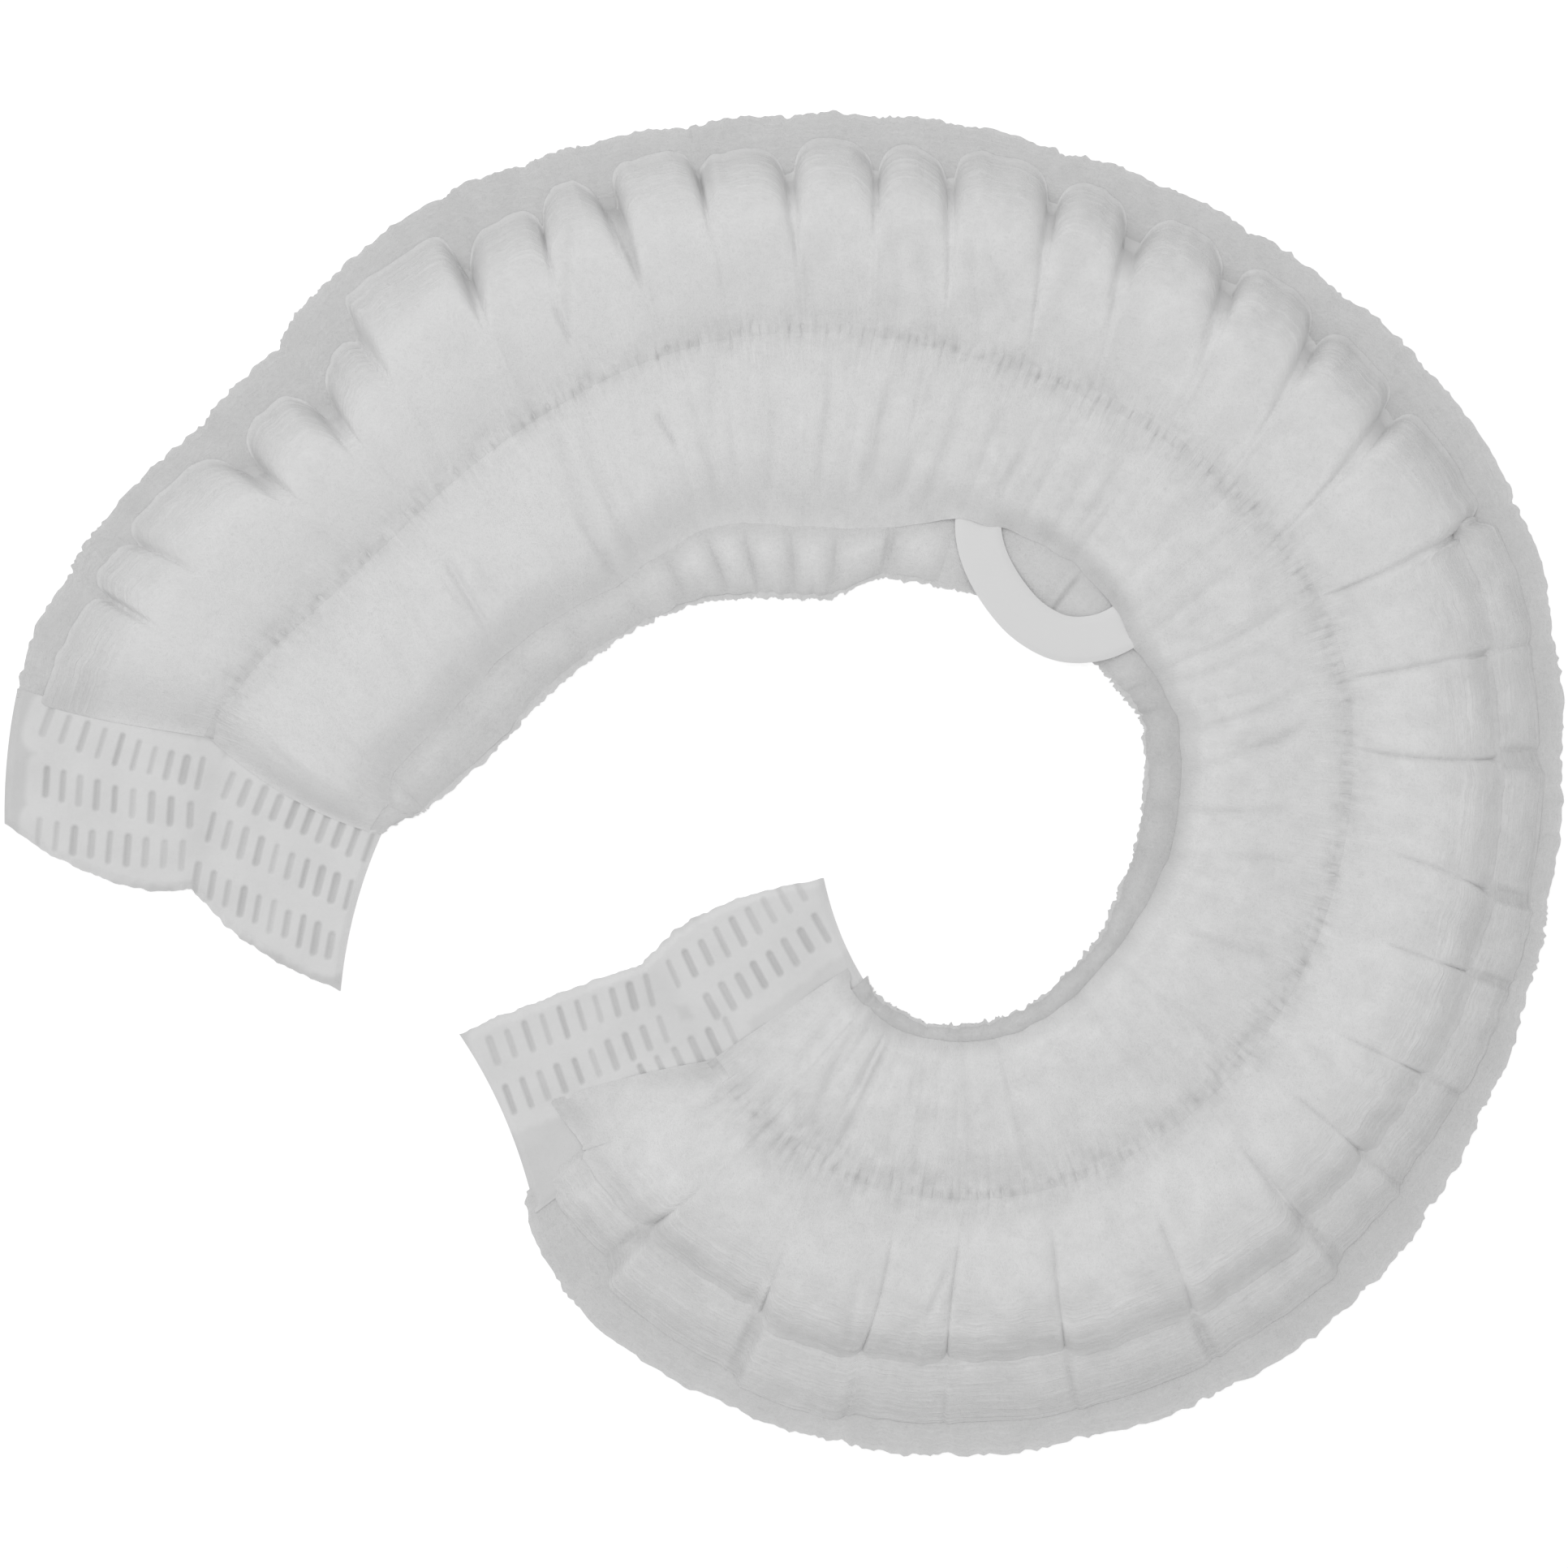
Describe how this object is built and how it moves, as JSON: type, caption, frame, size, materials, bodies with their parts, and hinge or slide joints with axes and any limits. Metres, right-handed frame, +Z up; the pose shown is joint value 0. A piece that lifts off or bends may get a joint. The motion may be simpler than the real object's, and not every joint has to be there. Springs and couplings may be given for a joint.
{
  "type": "disposable beard net",
  "caption": "Pleated nonwoven beard net curled into a C, with puffed lobes, gathered inner rim, elastic seam, loose elastic loop and embossed welded ends.",
  "frame": {"origin": "on the floor, under the middle of the object's outline", "axes": "+Z up through the front ply, +X along the longest side of the C, +Y away from its open end"},
  "size_m": [0.2692, 0.2316, 0.0147],
  "materials": {
    "cloth": "matt spun nonwoven cloth with fine pleats",
    "lower_cloth": "matt spun nonwoven cloth, shaded lower plies",
    "seam": "puckered elastic seam",
    "band": "smooth flat elastic",
    "weld": "fused nonwoven with pressed bars"
  },
  "bodies": {
    "root": {"back_ply": "lower_cloth", "middle_ply": "lower_cloth", "front_ply": "cloth", "seam_elastic": "seam", "head_elastic": "band", "left_end_weld": "weld", "right_end_weld": "weld"}
  },
  "joints": []
}
